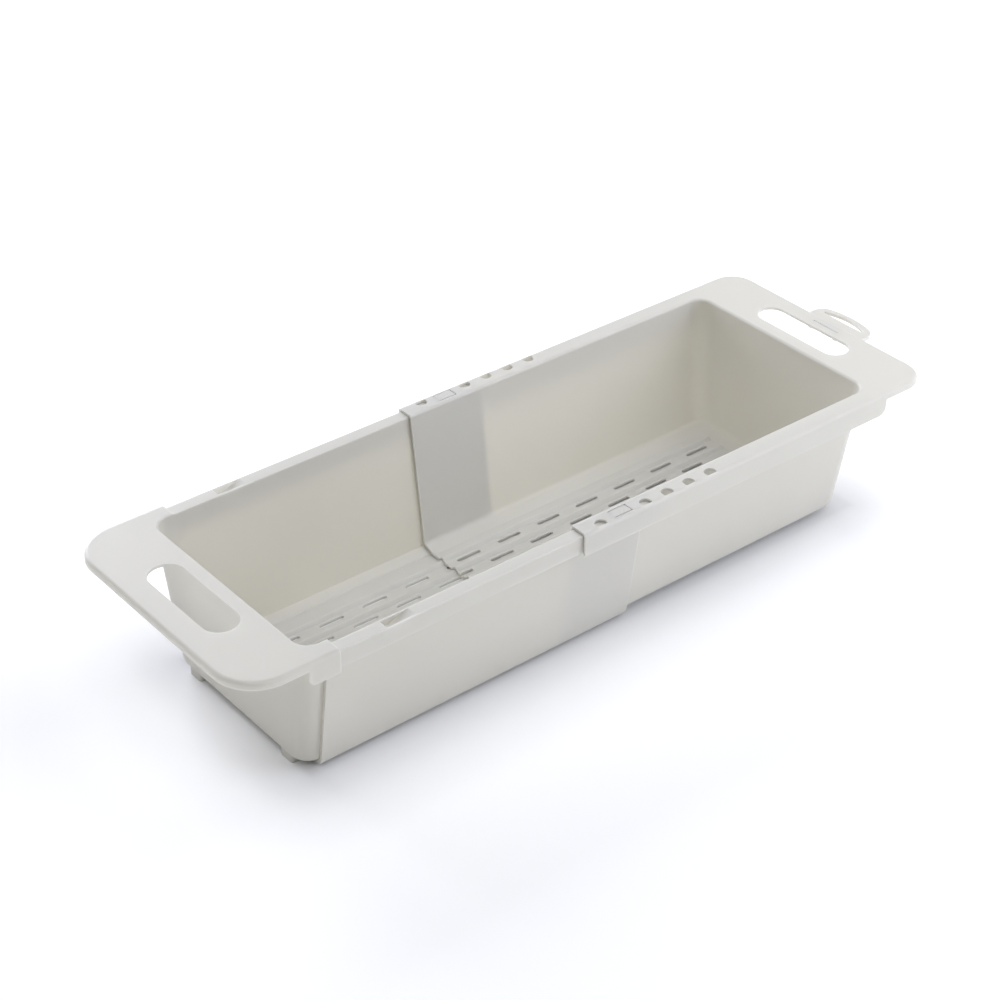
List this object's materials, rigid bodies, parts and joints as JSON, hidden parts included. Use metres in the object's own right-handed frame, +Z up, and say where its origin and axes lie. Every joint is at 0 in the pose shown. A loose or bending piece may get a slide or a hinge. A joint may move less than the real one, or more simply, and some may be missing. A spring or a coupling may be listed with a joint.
{
  "type": "extending sink drain basket",
  "caption": "Off-white plastic drain basket in two telescoping trays with a slotted, ribbed floor, hand slots and a hanging loop.",
  "frame": {"origin": "on the surface the basket stands on, below the middle of the fully extended basket's bounding box", "axes": "+X along the basket towards the handle with the hanging loop, +Y across it to the far wall, +Z up"},
  "size_m": [0.502, 0.1648, 0.0894],
  "materials": {
    "tray_plastic": "satin",
    "loop_plastic": "satin"
  },
  "bodies": {
    "outer_tray": {"outer_tray": "tray_plastic"},
    "inner_tray": {"inner_tray": "tray_plastic"},
    "near_snap_tab": {"near_snap_tab": "tray_plastic"},
    "far_snap_tab": {"far_snap_tab": "tray_plastic"},
    "hanging_loop": {"hanging_loop": "loop_plastic"}
  },
  "joints": [
    {"name": "tray_slide", "type": "slide", "parent": "outer_tray", "child": "inner_tray", "axis": [-1, 0, 0], "range_m": [0, 0.1588]},
    {"name": "loop_hinge", "type": "hinge", "parent": "inner_tray", "child": "hanging_loop", "pos_m": [0.2273, -0.005, 0.086], "axis": [0, 1, 0], "range_deg": [0, 90]},
    {"name": "near_tab_flex", "type": "hinge", "parent": "inner_tray", "child": "near_snap_tab", "pos_m": [-0.0098, -0.0766, 0.0894], "axis": [0, -1, 0], "range_deg": [0, 5], "stiffness_Nm_per_rad": 0.3},
    {"name": "far_tab_flex", "type": "hinge", "parent": "inner_tray", "child": "far_snap_tab", "pos_m": [-0.0098, 0.0766, 0.0894], "axis": [0, -1, 0], "range_deg": [0, 5], "stiffness_Nm_per_rad": 0.3}
  ]
}
